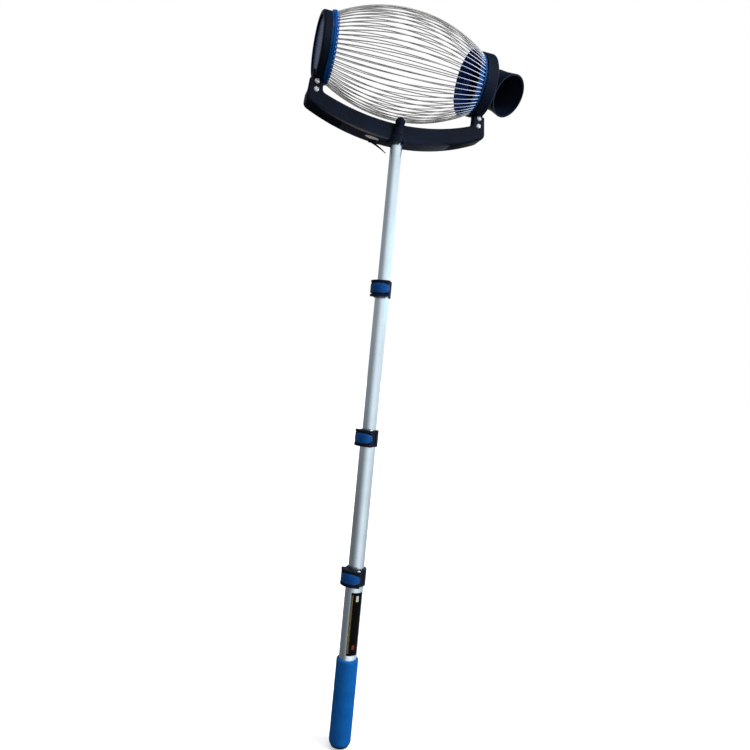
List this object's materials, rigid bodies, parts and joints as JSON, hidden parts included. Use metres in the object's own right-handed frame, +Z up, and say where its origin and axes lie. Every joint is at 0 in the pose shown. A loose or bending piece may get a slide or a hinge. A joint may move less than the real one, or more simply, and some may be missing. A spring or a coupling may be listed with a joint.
{
  "type": "telescopic olive harvester",
  "caption": "Rolling wire barrel with blue hubs in a black yoke and side spout, on a telescopic aluminium pole with flip-lock clamps and a foam grip; rolls over the ground to pick up olives.",
  "frame": {"origin": "centre of the grip's flat butt", "axes": "+Z up along the pole towards the barrel, +X along the barrel's axis towards the spout, +Y away from the side with the clamp levers and screw heads"},
  "size_m": [0.3537, 0.1608, 1.1575],
  "materials": {
    "blue_foam": "matte closed-cell foam",
    "black_plastic": "fine moulded texture",
    "blue_plastic": "glossy moulded",
    "anodised_tube": "satin anodised",
    "spring_steel": "drawn wire",
    "plated_steel": "bright zinc plate"
  },
  "bodies": {
    "handle": {"foam_grip": "blue_foam", "butt_plug": "black_plastic", "handle_tube": "anodised_tube", "lower_clamp": "black_plastic", "lower_clamp_pin": "plated_steel"},
    "lower_lever": {"lower_clamp_lever": "blue_plastic"},
    "lower_stage": {"lower_tube": "anodised_tube", "lower_tube_plug": "black_plastic", "middle_clamp": "black_plastic", "middle_clamp_pin": "plated_steel"},
    "middle_lever": {"middle_clamp_lever": "blue_plastic"},
    "middle_stage": {"middle_tube": "anodised_tube", "middle_tube_plug": "black_plastic", "upper_clamp": "black_plastic", "upper_clamp_pin": "plated_steel"},
    "upper_lever": {"upper_clamp_lever": "blue_plastic"},
    "head": {"upper_tube": "anodised_tube", "upper_tube_plug": "black_plastic", "yoke": "black_plastic", "left_end_ring": "black_plastic", "right_end_ring": "black_plastic", "left_arm_screws": "plated_steel", "right_arm_screws": "plated_steel"},
    "cage": {"left_hub": "blue_plastic", "left_wire_ring": "blue_plastic", "right_hub": "blue_plastic", "right_wire_ring": "blue_plastic", "cage_wires": "spring_steel"},
    "outlet": {"outlet_elbow": "black_plastic"}
  },
  "joints": [
    {"name": "lower_slide", "type": "slide", "parent": "handle", "child": "lower_stage", "axis": [0, 0, 1], "range_m": [-0.185, 0]},
    {"name": "middle_slide", "type": "slide", "parent": "lower_stage", "child": "middle_stage", "axis": [0, 0, 1], "range_m": [-0.202, 0]},
    {"name": "upper_slide", "type": "slide", "parent": "middle_stage", "child": "head", "axis": [0, 0, 1], "range_m": [-0.206, 0]},
    {"name": "lower_lever_hinge", "type": "hinge", "parent": "handle", "child": "lower_lever", "pos_m": [-0.00105, -0.01997, 0.2716], "axis": [0, 0, 1], "range_deg": [0, 110]},
    {"name": "middle_lever_hinge", "type": "hinge", "parent": "lower_stage", "child": "middle_lever", "pos_m": [-0.00226, -0.01836, 0.49], "axis": [0, 0, 1], "range_deg": [0, 110]},
    {"name": "upper_lever_hinge", "type": "hinge", "parent": "middle_stage", "child": "upper_lever", "pos_m": [0.00266, -0.01679, 0.7243], "axis": [0, 0, 1], "range_deg": [0, 110]},
    {"name": "cage_spin", "type": "hinge", "parent": "head", "child": "cage", "pos_m": [0, 0, 1.077], "axis": [1, 0, 0], "continuous": true},
    {"name": "outlet_swivel", "type": "hinge", "parent": "head", "child": "outlet", "pos_m": [0.15, 0, 1.077], "axis": [1, 0, 0], "continuous": true}
  ]
}
